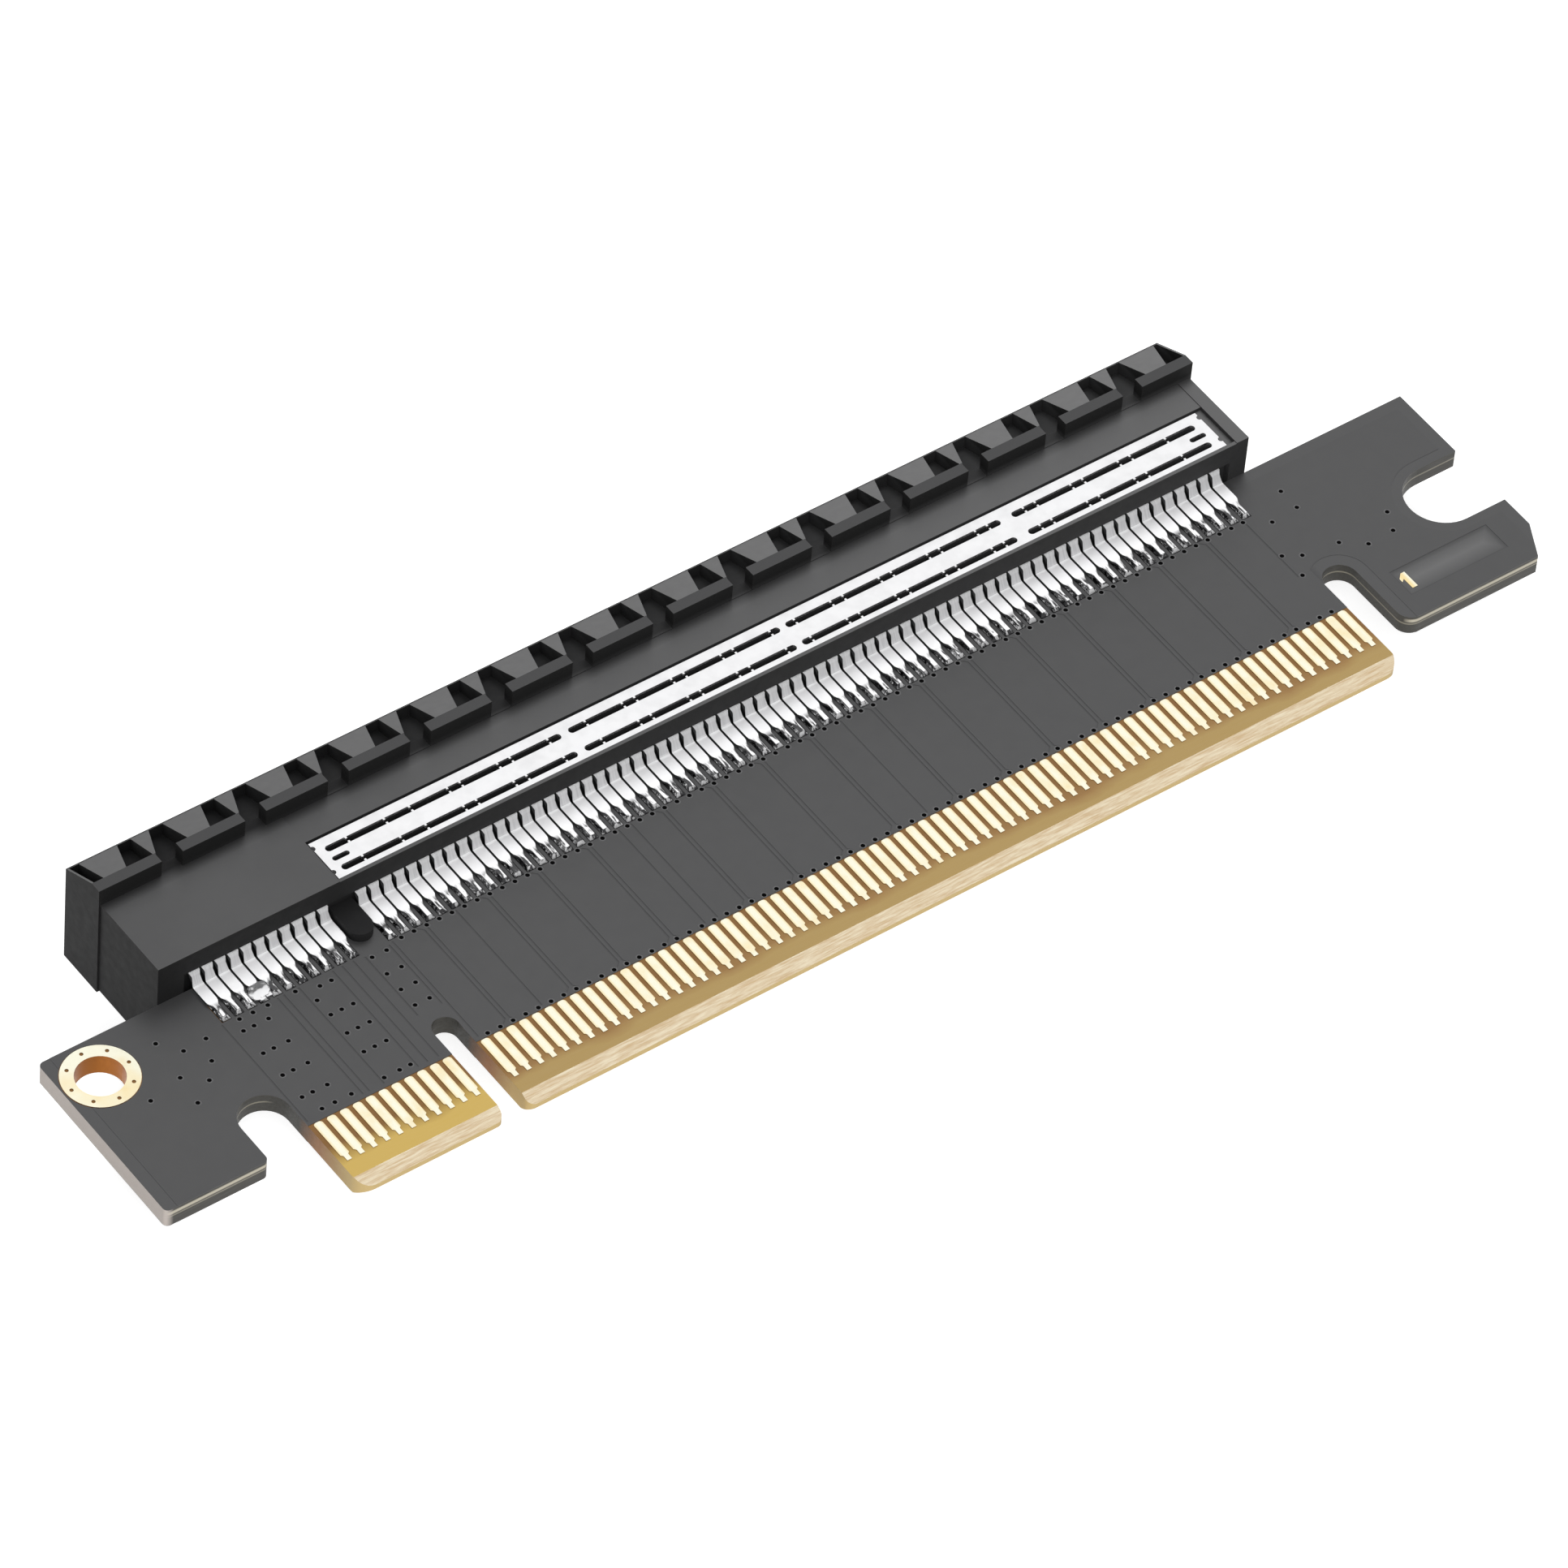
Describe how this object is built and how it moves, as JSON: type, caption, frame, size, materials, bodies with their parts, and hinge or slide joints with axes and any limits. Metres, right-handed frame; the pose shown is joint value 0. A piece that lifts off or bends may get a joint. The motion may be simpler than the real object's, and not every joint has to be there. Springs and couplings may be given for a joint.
{
  "type": "expansion slot riser card",
  "caption": "Low riser card: a bevelled card edge with gold fingers, a straddle-mount slot housing on the far edge, a latch hook and a screw hole.",
  "frame": {"origin": "middle of the key notch at the card edge, halfway through the board's thickness", "axes": "+X along the card edge towards the hook, +Y from the card edge to the slot mouth, +Z out of the component side"},
  "size_m": [0.1111, 0.0302, 0.0098],
  "materials": {
    "laminate": "glass fibre and resin laminate, sawn edges",
    "solder_mask": "satin black solder mask",
    "gold": "hard gold plate on copper",
    "solder": "bright reflowed solder",
    "housing": "black moulded glass-filled polymer",
    "plate": "tin-plated stamped strip",
    "contact": "copper alloy strip, tin-plated tails and gold-plated points"
  },
  "bodies": {
    "root": {"circuit_board": "laminate", "solder_mask_front": "solder_mask", "solder_mask_back": "solder_mask", "edge_fingers_front": "gold", "edge_fingers_back": "gold", "barrel_plating": "gold", "contact_lands_front": "solder", "contact_lands_back": "solder", "solder_joints_front": "solder", "solder_joints_back": "solder", "slot_housing": "housing", "ground_plate": "plate", "contacts_upper_short": "contact", "contacts_upper_long": "contact", "contacts_lower_short": "contact", "contacts_lower_long": "contact"}
  },
  "joints": []
}
